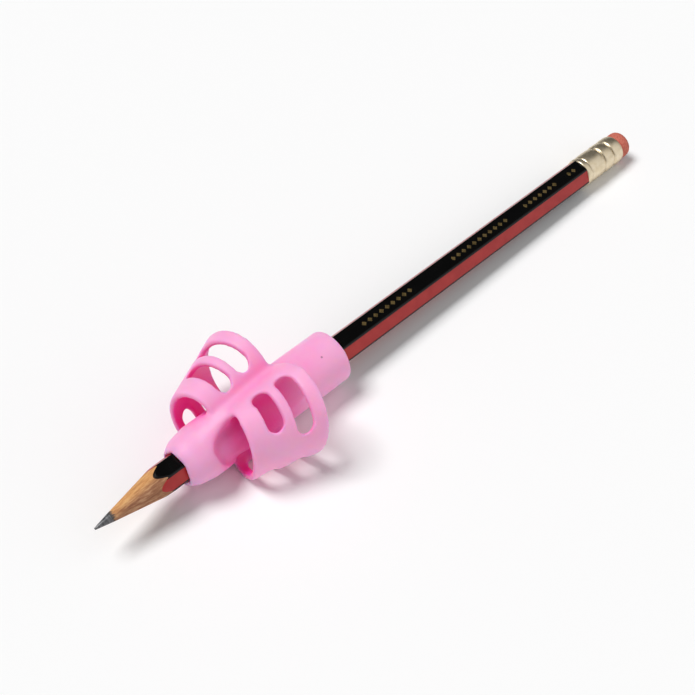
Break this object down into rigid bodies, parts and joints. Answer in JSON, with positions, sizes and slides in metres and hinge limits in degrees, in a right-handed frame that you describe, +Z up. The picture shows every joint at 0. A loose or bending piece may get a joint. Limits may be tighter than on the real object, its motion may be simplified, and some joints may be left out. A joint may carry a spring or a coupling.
{
  "type": "pencil grip",
  "caption": "Soft finger-loop training grip sliding on a sharpened hexagonal pencil with ferrule and eraser, guiding index finger and thumb.",
  "frame": {"origin": "bottom centre of the bounding box, as the pencil lies at rest on a table on its two finger loops and its ferrule", "axes": "+X along the pencil from its point to its eraser, +Z up, +Y to the side of the loop that sits nearer the point"},
  "size_m": [0.184, 0.0386, 0.0234],
  "materials": {
    "silicone": "satin",
    "casing_wood": "matte",
    "graphite": "satin",
    "black_lacquer": "gloss",
    "red_lacquer": "gloss",
    "ferrule_metal": "satin",
    "eraser_rubber": "matte"
  },
  "bodies": {
    "pencil": {"upper_slat": "casing_wood", "lower_slat": "casing_wood", "graphite_core": "graphite", "lacquer_black": "black_lacquer", "lacquer_red": "red_lacquer", "ferrule": "ferrule_metal", "eraser": "eraser_rubber"},
    "grip": {"grip": "silicone"}
  },
  "joints": [
    {"name": "grip_slide", "type": "slide", "parent": "pencil", "child": "grip", "axis": [0.9995, 0, -0.032], "range_m": [-0.08, 0.09]}
  ]
}
